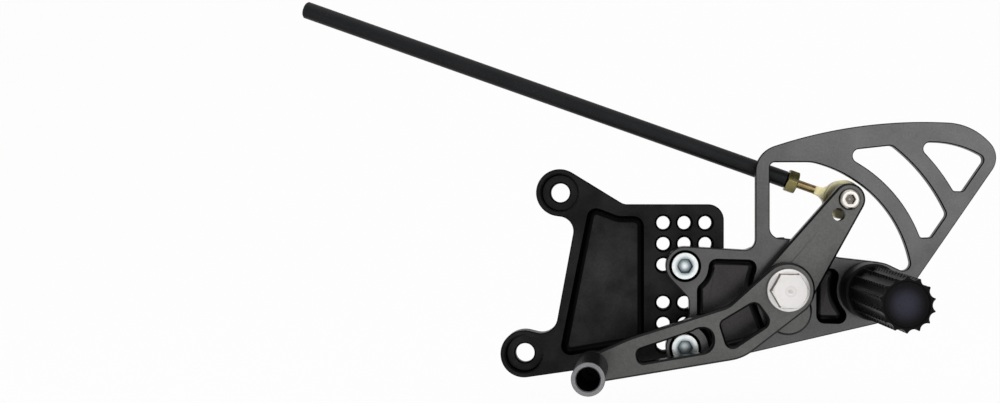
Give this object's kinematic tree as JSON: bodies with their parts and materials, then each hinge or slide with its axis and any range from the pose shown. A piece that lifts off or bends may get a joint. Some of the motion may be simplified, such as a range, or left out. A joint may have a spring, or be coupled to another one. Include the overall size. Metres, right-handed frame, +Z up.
{
  "type": "rear sets footrest",
  "caption": "Rear-set footrest of machined black aluminium with base plate, heel guard plate, knurled foot peg, gear-shift lever and linkage rod",
  "frame": {"origin": "midpoint of the two frame bolt holes on the base plate's back face", "axes": "X to the rear, Z up, -Y outwards from the frame"},
  "size_m": [0.3252, 0.089, 0.1781],
  "materials": {
    "base_anodised": "satin black anodised",
    "plate_anodised": "satin charcoal anodised",
    "peg_anodised": "satin black anodised",
    "zinc_bright": "bright zinc plated",
    "nickel": "bright nickel plated",
    "steel_plain": "machined",
    "bronze": "sintered bearing bronze",
    "zinc_yellow": "yellow zinc plated",
    "steel_black": "black oxide",
    "rod_black": "satin black"
  },
  "bodies": {
    "carrier": {"base_plate": "base_anodised", "side_plate": "plate_anodised", "plate_bolt_upper": "zinc_bright", "plate_bolt_lower": "zinc_bright", "foot_peg": "peg_anodised", "foot_peg_washer": "zinc_bright", "foot_peg_bolt": "zinc_bright", "pivot_bolt": "nickel", "pivot_sleeve": "steel_plain"},
    "shifter": {"pivot_bush_back": "bronze", "pivot_bush_front": "bronze", "shift_arm": "plate_anodised", "shift_lever": "plate_anodised", "arm_dowel_top": "steel_plain", "arm_dowel_front": "steel_plain", "arm_dowel_rear": "steel_plain", "toe_peg": "peg_anodised", "toe_peg_bolt": "steel_black", "rod_end_bolt": "nickel", "rod_end_spacer": "steel_plain", "rod_end_ball": "steel_plain", "rod_end_nut": "zinc_yellow"},
    "linkage": {"rod_end_race": "bronze", "rod_end_eye": "zinc_yellow", "jam_nut": "zinc_yellow", "shift_rod": "rod_black"}
  },
  "joints": [
    {"name": "lever_pivot", "type": "hinge", "parent": "carrier", "child": "shifter", "pos_m": [0.1135, -0.0249, -0.006], "axis": [0, -1, 0], "range_deg": [-8, 8]},
    {"name": "rod_end_pivot", "type": "hinge", "parent": "shifter", "child": "linkage", "pos_m": [0.14251, -0.00783, 0.03497], "axis": [0, 1, 0], "range_deg": [-4, 20]}
  ]
}
